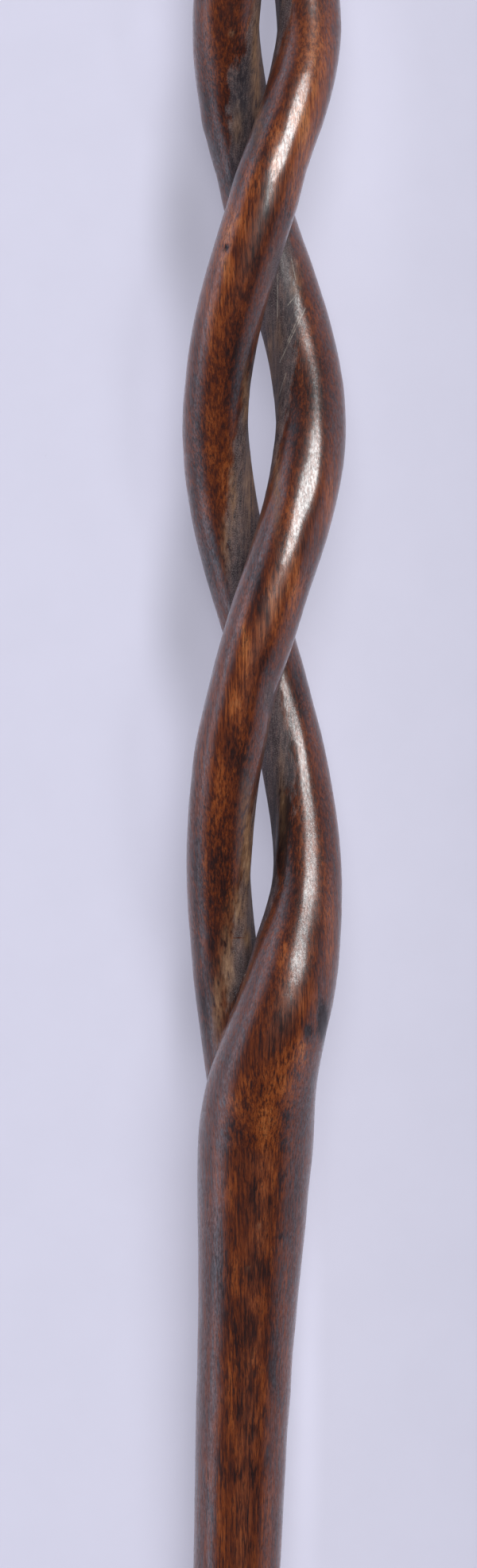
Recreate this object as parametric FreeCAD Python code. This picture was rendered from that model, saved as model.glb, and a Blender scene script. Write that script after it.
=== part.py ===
import FreeCAD, Part
import math
import os

# A carved ceremonial staff, lying along +Y, in millimetres. The foot's end face is centred on the
# origin and the head points along +Y. Two open strands wind round each other between two forks.
# Seen from above, +Z, the strand in front climbs from the left to the right towards the head.
# The staff is a little crooked, and it lies on its foot, on two bends of the twist and on its knob.

Vector = FreeCAD.Vector
ALONG = Vector(0, 1, 0)

# Lengths along the staff
shaft_length = 370.0        # foot face to the thickest place of the lower fork
fork_length = 60.0          # thickest place of a fork to the plane where its strands start
twist_length = 393.0        # between the two planes where the strands start
neck_length = 52.0          # thickest place of the upper fork to the shoulder under the knob
knob_length = 62.0

# Thickness
fork_radius = 16.4
neck_radius = 11.8
shaft_foot_radius = 9.6
strand_radius = 9.7
twist_radius = 12.6         # staff axis to the middle of a strand

# How crooked the staff is. The axis is straight in the ferrule, moves sideways to +X and up to +Z over the
# lower shaft, slowly at first, and comes straight again in the fork. Past the last full bend of the twist it
# moves back, so that the head lies to the left of the twist again.
shaft_crook = 9.2
shaft_crook_power = 1.9
shaft_rise_power = 1.4
fork_crook = 2.2
fork_rise = 2.0
upper_crook = -6.0

# Joints of the strands in the forks
tenon_radius = 4.5
tenon_length = 12.0
socket_clearance = 0.1      # round the tenon
socket_end_gap = 0.4        # past the end of the tenon

# Head
knob_radius = 22.2
knob_collar_radius = 14.2
knob_collar_length = 6.0
peg_radius = 5.0
peg_length = 44.0
peg_clearance = 0.1
peg_end_gap = 0.5
peg_chamfer = 0.8

# Foot
ferrule_length = 40.0
ferrule_wall = 1.2
ferrule_end_wall = 2.6
ferrule_edge_round = 0.8
spigot_clearance = 0.1
spigot_end_gap = 0.3
pin_radius = 1.0
pin_length = 7.0
pin_clearance = 0.05
pin_sunk = 0.1              # the pin's head below the ferrule's face
pin_end_gap = 0.3
pin_height_share = 0.55     # of the ferrule's length

# The carver's turns aren't even. Each row: place as a share of the twist's length, and the quarter turns
# that the first strand has made since it passed in front of the axis.
turn_shares = (
    (0.047, -1.00),
    (0.221, 0.00),
    (0.374, 1.00),
    (0.527, 2.00),
    (0.558, 2.16),
    (0.618, 2.61),
    (0.662, 3.00),
    (0.815, 4.00),
    (0.962, 5.00),
)

# How far the axis wanders sideways: place as before, and way as a share of the strand radius
wander_shares = ((0.047, 0.0), (0.221, -0.12), (0.374, 0.0), (0.527, -0.09), (0.662, 0.13), (0.815, 0.0))

# Each strand between the strands' planes. Each row: place as a share of the twist's length, distance of
# its middle from the axis as a share of the twist radius, and its radius as a share of the strand radius.
# The second strand swells at both ends, where it runs into the solid wood.
strand_a_shares = (
    (0.000, 0.985, 0.980),
    (0.047, 0.985, 0.975),
    (0.221, 1.000, 1.040),
    (0.374, 1.065, 1.050),
    (0.527, 1.000, 1.000),
    (0.662, 0.920, 1.020),
    (0.815, 0.950, 1.000),
    (0.962, 0.970, 0.980),
    (1.000, 0.970, 0.980),
)
strand_b_shares = (
    (0.000, 0.880, 1.240),
    (0.047, 0.985, 1.040),
    (0.120, 1.000, 1.000),
    (0.221, 1.000, 1.000),
    (0.374, 1.065, 0.985),
    (0.527, 1.000, 0.990),
    (0.662, 0.920, 0.970),
    (0.815, 0.950, 0.990),
    (0.900, 0.970, 1.000),
    (0.962, 0.970, 1.040),
    (1.000, 0.880, 1.240),
)

# The fork from the strands' plane, 0, to its thickest place, 1. The second strand swells until it is the
# shaft, and the first one sinks into its back. Each row: place, distance from the axis as a share of the
# twist radius, radius as a share of the fork's radius, and the turn since the strands' plane as a share
# of a quarter turn.
swelling_shares = (
    (0.00, 0.88, 0.733, 0.000),
    (0.20, 0.85, 0.800, 0.186),
    (0.45, 0.70, 0.893, 0.416),
    (0.70, 0.42, 0.973, 0.635),
    (0.90, 0.12, 1.000, 0.720),
    (1.00, 0.00, 1.000, 0.730),
)
sinking_shares = (
    (0.00, 0.985, 0.580, 0.000),
    (0.20, 0.950, 0.580, 0.112),
    (0.45, 0.870, 0.580, 0.244),
    (0.70, 0.670, 0.580, 0.300),
    (1.00, 0.250, 0.560, 0.360),
    (1.15, 0.050, 0.540, 0.400),
)

# The plain shaft from the foot, 0, to the fork, 1: place, and radius between foot radius and fork radius
shaft_swell_shares = (
    (0.00, 0.00), (0.35, 0.21), (0.67, 0.465), (0.79, 0.565), (0.875, 0.71), (0.935, 0.86), (1.00, 1.00),
)

# The neck from the fork, 0, to the knob's shoulder, 1: place, and radius between fork and neck radius
neck_swell_shares = ((0.00, 1.00), (0.30, 0.62), (0.60, 0.16), (0.85, 0.0), (1.00, 0.0))

# The knob's outline from its collar, 0, to its top, 1: place, and radius as a share of the knob's radius
knob_outline_shares = (
    (0.00, 0.44), (0.06, 0.56), (0.16, 0.73), (0.30, 0.90), (0.47, 1.00),
    (0.64, 0.96), (0.78, 0.83), (0.89, 0.63), (0.965, 0.36), (1.00, 0.0),
)

wide_axis_share = 1.0002    # even a round section is a hair wider sideways, so that its wide axis is sure
twist_sections = 32
fork_sections = 9
shaft_sections = 9

# Places along the staff that follow from the lengths
lower_plane_y = shaft_length + fork_length
upper_plane_y = lower_plane_y + twist_length
upper_fork_y = upper_plane_y + fork_length
shoulder_y = upper_fork_y + neck_length
wander_start_y = lower_plane_y + wander_shares[0][0] * twist_length
wander_end_y = lower_plane_y + wander_shares[-1][0] * twist_length
twist_rise = twist_radius + strand_radius - shaft_foot_radius    # puts the twist's bends level with the foot
ferrule_radius = shaft_foot_radius
spigot_radius = ferrule_radius - ferrule_wall - spigot_clearance


def smooth(places, values, at):
    """A smooth curve through the values at the places, straight on past either end."""
    last = len(places) - 1
    slopes = []
    for i in range(last + 1):
        low, high = max(i - 1, 0), min(i + 1, last)
        slopes.append((values[high] - values[low]) / (places[high] - places[low]))
    if at <= places[0]:
        return values[0] + slopes[0] * (at - places[0])
    if at >= places[last]:
        return values[last] + slopes[last] * (at - places[last])
    i = max(k for k in range(last) if places[k] <= at)
    step = places[i + 1] - places[i]
    t = (at - places[i]) / step
    return (
        (1 + 2 * t) * (1 - t) ** 2 * values[i]
        + t * (1 - t) ** 2 * step * slopes[i]
        + t * t * (3 - 2 * t) * values[i + 1]
        + t * t * (t - 1) * step * slopes[i + 1]
    )


def column(rows, index):
    return [row[index] for row in rows]


def twist_share(y):
    return (y - lower_plane_y) / twist_length


def axis_point(y):
    """Where the staff's axis lies at the length y."""
    if y < shaft_length:
        gone = max(y - ferrule_length, 0) / (shaft_length - ferrule_length)
        rise = (twist_rise - fork_rise) * gone ** shaft_rise_power
        return Vector(shaft_crook * gone ** shaft_crook_power, y, rise)
    if y < wander_start_y:
        left = ((wander_start_y - y) / (wander_start_y - shaft_length)) ** 2
        return Vector(shaft_crook + fork_crook * (1 - left), y, twist_rise - fork_rise * left)
    if y < wander_end_y:
        moved = strand_radius * smooth(column(wander_shares, 0), column(wander_shares, 1), twist_share(y))
    else:
        gone = (y - wander_end_y) / (shoulder_y - wander_end_y)
        moved = upper_crook * gone * gone * (3 - 2 * gone)
    return Vector(shaft_crook + fork_crook + moved, y, twist_rise)


def strand_turn(y):
    """How far the first strand has turned about the axis from +Z towards +X, in radians."""
    return math.pi / 2 * smooth(column(turn_shares, 0), column(turn_shares, 1), twist_share(y))


def oval(y, turn, off_axis, radius, lean):
    """The flat section, square to the staff, of a round strand that leans by the angle lean. Every section
    starts on its +X side, so that the skin laid over them doesn't wind."""
    outward = Vector(math.sin(turn), 0, math.cos(turn))
    sideways = Vector(math.cos(turn), 0, -math.sin(turn))
    centre = axis_point(y) + outward * off_axis
    wide = radius / math.cos(lean) * wide_axis_share
    ellipse = Part.Ellipse(centre + sideways * wide, centre + outward * radius, centre)
    start = math.atan2(math.sin(turn) * wide, math.cos(turn) * radius)
    return Part.Wire([ellipse.toShape(start, start + 2 * math.pi)])


def strand_values(y, rows, half_turns):
    """Turn, distance from the axis, radius and lean of a strand between the forks."""
    share = twist_share(y)
    places = column(rows, 0)
    off_axis = twist_radius * smooth(places, column(rows, 1), share)
    radius = strand_radius * smooth(places, column(rows, 2), share)
    near = twist_length / twist_sections
    turning = (strand_turn(y + near) - strand_turn(y - near)) / (near + near)
    return strand_turn(y) + half_turns * math.pi, off_axis, radius, math.atan(off_axis * turning)


def fork_values(place, rows, end_values):
    """The same inside a fork, at a place from 0, where it meets end_values, to 1, the thickest."""
    end_off, end_radius, end_lean = end_values[1:]
    places = column(rows, 0)
    closeness = max(0.0, 1 - place / rows[2][0])
    off_axis = twist_radius * smooth(places, column(rows, 1), place)
    radius = fork_radius * smooth(places, column(rows, 2), place)
    off_axis += closeness * (end_off - twist_radius * rows[0][1])
    radius += closeness * (end_radius - fork_radius * rows[0][2])
    turned = math.pi / 2 * smooth(places, column(rows, 3), place)
    return turned, max(off_axis, 0), radius, end_lean * max(0.0, 1 - place / rows[-1][0])


def round_bar(centre, radius, length, direction=ALONG):
    return Part.makeCylinder(radius, length, centre, direction)


def strand_end(plane_y, rows, half_turns):
    """Centre of a strand's end face."""
    turn, off_axis = strand_values(plane_y, rows, half_turns)[:2]
    return axis_point(plane_y) + Vector(math.sin(turn), 0, math.cos(turn)) * off_axis


def strand(rows, half_turns):
    rings = []
    for i in range(twist_sections + 1):
        y = lower_plane_y + twist_length * i / twist_sections
        rings.append(oval(y, *strand_values(y, rows, half_turns)))
    body = Part.makeLoft(rings, True, False)
    lower = strand_end(lower_plane_y, rows, half_turns)
    upper = strand_end(upper_plane_y, rows, half_turns)
    lower_tenon = round_bar(lower, tenon_radius, tenon_length, -ALONG)
    upper_tenon = round_bar(upper, tenon_radius, tenon_length)
    return body.fuse([lower_tenon, upper_tenon])


def fork_rings(rows, plane_y, towards, strand_rows, half_turns):
    """Sections from a strand's end face into the fork. towards is -1 for the lower fork, 1 for the upper."""
    end_values = strand_values(plane_y, strand_rows, half_turns)
    rings = []
    for i in range(fork_sections + 1):
        place = rows[-1][0] * i / fork_sections
        turned, off_axis, radius, lean = fork_values(place, rows, end_values)
        turn = end_values[0] + towards * turned
        rings.append(oval(plane_y + towards * fork_length * place, turn, off_axis, radius, lean))
    return rings


def fork(plane_y, towards, tail_rings):
    """Both strands run together: the second swells into the solid end, the first sinks into its back."""
    swelling = fork_rings(swelling_shares, plane_y, towards, strand_b_shares, 1)
    sinking = fork_rings(sinking_shares, plane_y, towards, strand_a_shares, 0)
    solid_end = Part.makeLoft(swelling + tail_rings, True, False)
    return solid_end.fuse(Part.makeLoft(sinking, True, False))


def sockets(plane_y, towards):
    """The two holes that take the strands' tenons."""
    holes = []
    for rows, half_turns in ((strand_a_shares, 0), (strand_b_shares, 1)):
        centre = strand_end(plane_y, rows, half_turns)
        depth = tenon_length + socket_end_gap
        holes.append(round_bar(centre, tenon_radius + socket_clearance, depth, ALONG * towards))
    return holes


def pin_places():
    """The pins go in from the left and the right of the foot: middle of the head, and the way in."""
    y = ferrule_length * pin_height_share
    for way in (Vector(1, 0, 0), Vector(-1, 0, 0)):
        yield axis_point(y) - way * (ferrule_radius - pin_sunk), way


def lower_shaft():
    rings = []
    for i in range(1, shaft_sections + 1):
        share = 1 - i / shaft_sections
        y = ferrule_length + (shaft_length - ferrule_length) * share
        swell = smooth(column(shaft_swell_shares, 0), column(shaft_swell_shares, 1), share)
        rings.append(oval(y, 0, 0, shaft_foot_radius + (fork_radius - shaft_foot_radius) * swell, 0))
    body = fork(lower_plane_y, -1, rings)
    shoulder = axis_point(ferrule_length)
    spigot_length = ferrule_length - ferrule_end_wall - spigot_end_gap
    spigot = round_bar(shoulder, spigot_radius, spigot_length, -ALONG)
    pin_holes = []
    for head, way in pin_places():
        depth = pin_length + pin_end_gap
        pin_holes.append(round_bar(head, pin_radius + pin_clearance, depth, way))
    return body.fuse(spigot).cut(sockets(lower_plane_y, -1) + pin_holes)


def upper_shaft():
    rings = []
    for place, swell in neck_swell_shares[1:]:
        y = upper_fork_y + neck_length * place
        rings.append(oval(y, 0, 0, neck_radius + (fork_radius - neck_radius) * swell, 0))
    body = fork(upper_plane_y, 1, rings)
    depth = peg_length / 2 + peg_end_gap
    peg_hole = round_bar(axis_point(shoulder_y), peg_radius + peg_clearance, depth, -ALONG)
    return body.cut(sockets(upper_plane_y, 1) + [peg_hole])


def head_knob():
    """A turned knob: a rounded collar, a narrow cove and a slightly flattened ball."""
    centre = axis_point(shoulder_y)
    ball_length = knob_length - knob_collar_length

    def point(radius, height):
        return centre + Vector(radius, height, 0)

    foot_radius = neck_radius
    ball = [point(knob_radius * r, knob_collar_length + ball_length * h) for h, r in knob_outline_shares]
    outline = Part.BSplineCurve()
    outline.interpolate(ball)
    collar = Part.Arc(
        point(foot_radius, 0), point(knob_collar_radius, knob_collar_length / 2), ball[0]
    )
    edges = [
        Part.makeLine(point(0, 0), point(foot_radius, 0)),
        collar.toShape(),
        outline.toShape(),
        Part.makeLine(ball[-1], point(0, 0)),
    ]
    knob = Part.Face(Part.Wire(edges)).revolve(centre, ALONG, 360)
    hole = round_bar(centre, peg_radius + peg_clearance, peg_length / 2 + peg_end_gap)
    return knob.cut(hole)


def head_peg():
    start = axis_point(shoulder_y) - ALONG * (peg_length / 2)
    peg = round_bar(start, peg_radius, peg_length)
    ends = [edge for edge in peg.Edges if len(edge.Vertexes) == 1]
    return peg.makeChamfer(peg_chamfer, ends)


def foot_ferrule():
    """A plain metal cup whose outside is a true cylinder."""
    cup = round_bar(Vector(0, 0, 0), ferrule_radius, ferrule_length)
    rim = [edge for edge in cup.Edges if len(edge.Vertexes) == 1 and edge.BoundBox.YMax < ferrule_wall]
    cup = cup.makeFillet(ferrule_edge_round, rim)
    inside = Vector(0, ferrule_end_wall, 0)
    cup = cup.cut(round_bar(inside, ferrule_radius - ferrule_wall, ferrule_length))
    holes = [
        round_bar(head - way * ferrule_wall, pin_radius + pin_clearance, ferrule_wall * 3, way)
        for head, way in pin_places()
    ]
    return cup.cut(holes)


def ferrule_pins():
    return Part.makeCompound(
        [round_bar(head, pin_radius, pin_length, way) for head, way in pin_places()]
    )


pieces = {
    "lower_shaft": lower_shaft,
    "strand_a": lambda: strand(strand_a_shares, 0),
    "strand_b": lambda: strand(strand_b_shares, 1),
    "upper_shaft": upper_shaft,
    "head_knob": head_knob,
    "head_peg": head_peg,
    "foot_ferrule": foot_ferrule,
    "ferrule_pins": ferrule_pins,
}

os.makedirs("parts", exist_ok=True)
for name, make in pieces.items():
    shape = make()
    print(name, "solids", len(shape.Solids), "valid", shape.isValid(), "volume", round(shape.Volume, 1))
    shape.exportStep("parts/" + name + ".step")
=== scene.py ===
import math

import bmesh
import bpy
import numpy as np
from mathutils import Matrix, Vector


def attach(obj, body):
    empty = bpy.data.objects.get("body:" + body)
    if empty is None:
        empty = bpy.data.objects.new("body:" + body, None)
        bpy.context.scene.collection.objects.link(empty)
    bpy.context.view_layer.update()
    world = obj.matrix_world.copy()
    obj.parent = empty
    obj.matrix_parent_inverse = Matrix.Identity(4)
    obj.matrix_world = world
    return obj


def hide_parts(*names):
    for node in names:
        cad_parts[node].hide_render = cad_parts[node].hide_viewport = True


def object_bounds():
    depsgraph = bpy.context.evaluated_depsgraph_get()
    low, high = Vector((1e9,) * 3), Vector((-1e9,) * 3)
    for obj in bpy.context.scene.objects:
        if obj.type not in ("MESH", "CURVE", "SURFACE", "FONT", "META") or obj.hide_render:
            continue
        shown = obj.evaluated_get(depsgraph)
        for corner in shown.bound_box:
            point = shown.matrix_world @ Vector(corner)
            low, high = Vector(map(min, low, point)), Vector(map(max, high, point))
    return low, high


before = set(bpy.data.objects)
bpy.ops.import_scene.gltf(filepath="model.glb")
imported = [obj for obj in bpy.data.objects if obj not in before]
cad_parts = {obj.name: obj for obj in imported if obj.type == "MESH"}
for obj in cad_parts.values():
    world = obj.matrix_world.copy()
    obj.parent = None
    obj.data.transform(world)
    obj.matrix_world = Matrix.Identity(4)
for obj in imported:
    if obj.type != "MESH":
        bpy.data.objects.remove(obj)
cad_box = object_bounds()

# The staff's measures, in metres, in the frame of the CAD part. The foot's face is on the origin, the head
# points along +Y, and +Z points up from the paper that the staff lies on.
mm = 0.001
shaft_length = 370 * mm
fork_length = 60 * mm
twist_length = 393 * mm
neck_length = 52 * mm
knob_length = 62 * mm
fork_radius = 16.4 * mm
neck_radius = 11.8 * mm
shaft_foot_radius = 9.6 * mm
strand_radius = 9.7 * mm
twist_radius = 12.6 * mm
shaft_crook = 9.2 * mm
shaft_crook_power = 1.9
shaft_rise_power = 1.4
fork_crook = 2.2 * mm
fork_rise = 2.0 * mm
upper_crook = -6.0 * mm
knob_radius = 22.2 * mm
knob_collar_radius = 14.2 * mm
knob_collar_length = 6 * mm
ferrule_length = 40 * mm
spigot_radius = 8.3 * mm
spigot_start_y = 2.9 * mm
pin_radius = 1.0 * mm
pin_length = 7 * mm
pin_middle_depth = 3.6 * mm
pin_height_share = 0.55

# Quarter turns of the first strand at places along the twist
turn_rows = (
    (0.047, -1), (0.221, 0), (0.374, 1), (0.527, 2), (0.558, 2.16),
    (0.618, 2.61), (0.662, 3), (0.815, 4), (0.962, 5),
)
wander_rows = ((0.047, 0), (0.221, -0.12), (0.374, 0), (0.527, -0.09), (0.662, 0.13), (0.815, 0))
# Place, distance from the axis and radius of each strand
strand_a_rows = (
    (0, 0.985, 0.98), (0.047, 0.985, 0.975), (0.221, 1, 1.04), (0.374, 1.065, 1.05),
    (0.527, 1, 1), (0.662, 0.92, 1.02), (0.815, 0.95, 1), (0.962, 0.97, 0.98),
    (1, 0.97, 0.98),
)
strand_b_rows = (
    (0, 0.88, 1.24), (0.047, 0.985, 1.04), (0.12, 1, 1), (0.221, 1, 1),
    (0.374, 1.065, 0.985), (0.527, 1, 0.99), (0.662, 0.92, 0.97), (0.815, 0.95, 0.99),
    (0.9, 0.97, 1), (0.962, 0.97, 1.04), (1, 0.88, 1.24),
)
# Inside a fork, from the strands' plane: place, distance, radius and turn
swelling_rows = (
    (0, 0.88, 0.733, 0), (0.2, 0.85, 0.8, 0.186), (0.45, 0.7, 0.893, 0.416),
    (0.7, 0.42, 0.973, 0.635), (0.9, 0.12, 1, 0.72), (1, 0, 1, 0.73),
)
sinking_rows = (
    (0, 0.985, 0.58, 0), (0.2, 0.95, 0.58, 0.112), (0.45, 0.87, 0.58, 0.244),
    (0.7, 0.67, 0.58, 0.3), (1, 0.25, 0.56, 0.36), (1.15, 0.05, 0.54, 0.4),
)
shaft_swell_rows = (
    (0, 0), (0.35, 0.21), (0.67, 0.465), (0.79, 0.565), (0.875, 0.71), (0.935, 0.86), (1, 1),
)
neck_swell_rows = ((0, 1), (0.3, 0.62), (0.6, 0.16), (0.85, 0), (1, 0))
knob_outline_rows = (
    (0, 0.44), (0.06, 0.56), (0.16, 0.73), (0.3, 0.9), (0.47, 1),
    (0.64, 0.96), (0.78, 0.83), (0.89, 0.63), (0.965, 0.36), (1, 0),
)
# The ferrule's outline in millimetres: radius, and height above the foot's face. It runs from the middle of
# the worn end up the outside with its one groove, over the lip and down the bore
ferrule_outline_rows = (
    (0, 0.12), (2, 0.05), (6.6, 0.02), (8.4, 0), (9.1, 0.14), (9.45, 0.42), (9.6, 0.85), (9.6, 2.5),
    (9.6, 8), (9.6, 20), (9.6, 33), (9.6, 35.6), (9.42, 35.9), (9.42, 36.2), (9.6, 36.5), (9.6, 39.2),
    (9.5, 39.75), (9.2, 39.98), (8.75, 39.98), (8.42, 39.7), (8.42, 20), (8.42, 2.7), (0, 2.6),
)

lower_plane_y = shaft_length + fork_length
upper_plane_y = lower_plane_y + twist_length
upper_fork_y = upper_plane_y + fork_length
shoulder_y = upper_fork_y + neck_length
wander_start_y = lower_plane_y + wander_rows[0][0] * twist_length
wander_end_y = lower_plane_y + wander_rows[-1][0] * twist_length
twist_rise = twist_radius + strand_radius - shaft_foot_radius
twist_x = shaft_crook + fork_crook

# The photograph: its size in pixels, how much of the staff a pixel shows, and what stands where in it
photo_wide, photo_tall = 600, 1974
pixel = 0.227 * mm
photo_axis_x = 331.0
photo_bottom_y = 250 * mm


def photo_place(x, y):
    """The frame's x and y of a pixel of the photograph."""
    return twist_x + (x - photo_axis_x) * pixel, photo_bottom_y + (photo_tall - y) * pixel


def smooth(places, values, at):
    last = len(places) - 1
    slopes = []
    for i in range(last + 1):
        low, high = max(i - 1, 0), min(i + 1, last)
        slopes.append((values[high] - values[low]) / (places[high] - places[low]))
    if at <= places[0]:
        return values[0] + slopes[0] * (at - places[0])
    if at >= places[last]:
        return values[last] + slopes[last] * (at - places[last])
    i = max(k for k in range(last) if places[k] <= at)
    step = places[i + 1] - places[i]
    t = (at - places[i]) / step
    return (
        (1 + 2 * t) * (1 - t) ** 2 * values[i]
        + t * (1 - t) ** 2 * step * slopes[i]
        + t * t * (3 - 2 * t) * values[i + 1]
        + t * t * (t - 1) * step * slopes[i + 1]
    )


def along(rows, index, at):
    return smooth([row[0] for row in rows], [row[index] for row in rows], at)


def twist_share(y):
    return (y - lower_plane_y) / twist_length


def axis_point(y):
    if y < shaft_length:
        gone = max(y - ferrule_length, 0) / (shaft_length - ferrule_length)
        rise = (twist_rise - fork_rise) * gone ** shaft_rise_power
        return Vector((shaft_crook * gone ** shaft_crook_power, y, rise))
    if y < wander_start_y:
        left = ((wander_start_y - y) / (wander_start_y - shaft_length)) ** 2
        return Vector((shaft_crook + fork_crook * (1 - left), y, twist_rise - fork_rise * left))
    if y < wander_end_y:
        moved = strand_radius * along(wander_rows, 1, twist_share(y))
    else:
        gone = (y - wander_end_y) / (shoulder_y - wander_end_y)
        moved = upper_crook * gone * gone * (3 - 2 * gone)
    return Vector((twist_x + moved, y, twist_rise))


def strand_turn(y):
    return math.pi / 2 * along(turn_rows, 1, twist_share(y))


def strand_section(y, rows, half_turns):
    """Turn, distance from the axis, radius and lean of a strand between the forks."""
    share = twist_share(y)
    off_axis = twist_radius * along(rows, 1, share)
    radius = strand_radius * along(rows, 2, share)
    near = twist_length / 32
    turning = (strand_turn(y + near) - strand_turn(y - near)) / (near + near)
    return strand_turn(y) + half_turns * math.pi, off_axis, radius, math.atan(off_axis * turning)


def fork_section(place, rows, plane_y, towards, strand_rows, half_turns):
    """The same inside a fork, at a place from 0, the strands' plane, to 1, the thickest."""
    end_turn, end_off, end_radius, end_lean = strand_section(plane_y, strand_rows, half_turns)
    closeness = max(0.0, 1 - place / rows[2][0])
    off_axis = twist_radius * along(rows, 1, place) + closeness * (end_off - twist_radius * rows[0][1])
    radius = fork_radius * along(rows, 2, place) + closeness * (end_radius - fork_radius * rows[0][2])
    turned = math.pi / 2 * along(rows, 3, place)
    lean = end_lean * max(0.0, 1 - place / rows[-1][0])
    return end_turn + towards * turned, max(off_axis, 0), radius, lean


def outward_from_axis(turn):
    return Vector((math.sin(turn), 0, math.cos(turn)))


def deselect_all():
    bpy.ops.object.select_all(action="DESELECT")


def take(piece):
    """Makes the piece the only selected object and the one that the tools work on."""
    deselect_all()
    piece.select_set(True)
    bpy.context.view_layer.objects.active = piece


def set_mode(mode):
    bpy.ops.object.mode_set(mode=mode)


def pick(action):
    bpy.ops.mesh.select_all(action=action)


def open_mesh(piece):
    mesh = bmesh.from_edit_mesh(piece.data)
    mesh.verts.ensure_lookup_table()
    return mesh


ring_corners = 64
inner_cut = 0.93            # the inner side of a strand is cut flat past this share of its radius
cut_taken = 0.9             # how much of what stands past it is taken off
sunk_cut = 0.6              # the same cut inside a fork, beside the full one between the forks
cut_fade = 35 * mm          # how far from a fork the second strand's cut is full
shaft_steps, fork_steps, twist_steps, neck_steps = 60, 22, 110, 16


def pick_ring(piece, ring):
    """Selects a ring's corners, and the edges between them, beside what is selected already."""
    mesh = open_mesh(piece)
    for corner in mesh.verts[ring]:
        corner.select = True
    mesh.select_flush(True)
    bmesh.update_edit_mesh(piece.data)


def lay_rings(name, sections):
    """A bar through the given sections, each a circle drawn where it goes and bridged to the one before."""
    deselect_all()
    newest, one_before = slice(-ring_corners, None), slice(-2 * ring_corners, -ring_corners)
    for i, (y, turn, off_axis, radius, lean, cut) in enumerate(sections):
        out = outward_from_axis(turn)
        side = Vector((math.cos(turn), 0, -math.sin(turn)))
        middle = axis_point(y) + out * off_axis
        stand = Matrix((side, out, side.cross(out))).transposed().to_euler()
        if i:
            pick("DESELECT")
        bpy.ops.mesh.primitive_circle_add(vertices=ring_corners, radius=radius, location=middle, rotation=stand)
        if not i:
            piece = bpy.context.object
            piece.name = piece.data.name = name
            bpy.ops.object.transform_apply(location=True, rotation=True, scale=True)
            set_mode("EDIT")
        for corner in open_mesh(piece).verts[newest]:
            sideways = (corner.co - middle).dot(side)
            corner.co += side * sideways * (1 / math.cos(lean) - 1)
            over = -(corner.co - middle).dot(out) - radius * inner_cut
            corner.co += out * max(over, 0) * cut_taken * cut
        if i:
            pick_ring(piece, one_before)
            bpy.ops.mesh.bridge_edge_loops()
    for end in (slice(0, ring_corners), newest):
        pick("DESELECT")
        pick_ring(piece, end)
        bpy.ops.mesh.edge_face_add()
    pick("SELECT")
    bpy.ops.mesh.normals_make_consistent(inside=False)
    set_mode("OBJECT")
    return piece


def spaced(start, end, steps, with_end=False):
    return [start + (end - start) * i / steps for i in range(steps + with_end)]


def fork_run(places, rows, end, strand_rows, half_turns, cut):
    """Sections through the lower fork (end -1) or the upper one (end 1)."""
    plane_y = lower_plane_y if end < 0 else upper_plane_y
    sections = []
    for place in places:
        values = fork_section(place, rows, plane_y, end, strand_rows, half_turns)
        sections.append((plane_y + end * fork_length * place, *values, cut))
    return sections


def first_strand_sections():
    far = sinking_rows[-1][0]
    sections = fork_run(spaced(far, 0, fork_steps), sinking_rows, -1, strand_a_rows, 0, sunk_cut)
    for y in spaced(lower_plane_y, upper_plane_y, twist_steps):
        sections.append((y, *strand_section(y, strand_a_rows, 0), 1))
    return sections + fork_run(spaced(0, far, fork_steps, True), sinking_rows, 1, strand_a_rows, 0, sunk_cut)


def second_strand_sections():
    """The second strand is one run of wood with the shaft below it and the neck above it."""
    sections = []

    def round_section(y, radius):
        sections.append((y, 0, 0, radius, 0, 0))

    for y in (spigot_start_y, ferrule_length / 2, ferrule_length - 0.1 * mm):
        round_section(y, spigot_radius)
    round_section(ferrule_length + 0.05 * mm, shaft_foot_radius)
    for share in spaced(0, 1, shaft_steps)[1:]:
        swell = along(shaft_swell_rows, 1, share)
        y = ferrule_length + (shaft_length - ferrule_length) * share
        round_section(y, shaft_foot_radius + (fork_radius - shaft_foot_radius) * swell)
    sections += fork_run(spaced(1, 0, fork_steps), swelling_rows, -1, strand_b_rows, 1, 0)
    for y in spaced(lower_plane_y, upper_plane_y, twist_steps):
        from_fork = min(y - lower_plane_y, upper_plane_y - y) / cut_fade
        sections.append((y, *strand_section(y, strand_b_rows, 1), min(from_fork, 1)))
    sections += fork_run(spaced(0, 1, fork_steps), swelling_rows, 1, strand_b_rows, 1, 0)
    for place in spaced(0, 1, neck_steps, True):
        radius = neck_radius + (fork_radius - neck_radius) * along(neck_swell_rows, 1, place)
        round_section(upper_fork_y + neck_length * place, radius)
    return sections


def apply_modifier(piece, kind, **values):
    take(piece)
    bpy.ops.object.modifier_add(type=kind)
    modifier = piece.modifiers[-1]
    for name, value in values.items():
        setattr(modifier, name, value)
    bpy.ops.object.modifier_apply(modifier=modifier.name)


billet_voxel = 0.76 * mm
crease_rounds = 8           # how often the creases of the forks are smoothed


def one_billet():
    """Both strands grown into one piece of wood, with the creases of the forks a little rounded."""
    first = lay_rings("billet", first_strand_sections())
    second = lay_rings("second_strand", second_strand_sections())
    take(first)
    second.select_set(True)
    bpy.ops.object.join()
    apply_modifier(first, "REMESH", mode="VOXEL", voxel_size=billet_voxel, adaptivity=0)
    apply_modifier(first, "SMOOTH", factor=0.5, iterations=crease_rounds)
    return first


def points_of(piece):
    count = len(piece.data.vertices)
    places = np.empty(count * 3)
    piece.data.vertices.foreach_get("co", places)
    facing = np.empty(count * 3)
    piece.data.vertex_normals.foreach_get("vector", facing)
    return places.reshape(-1, 3), facing.reshape(-1, 3)


def move_points(piece, places):
    piece.data.vertices.foreach_set("co", places.ravel())
    piece.data.update()


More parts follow.
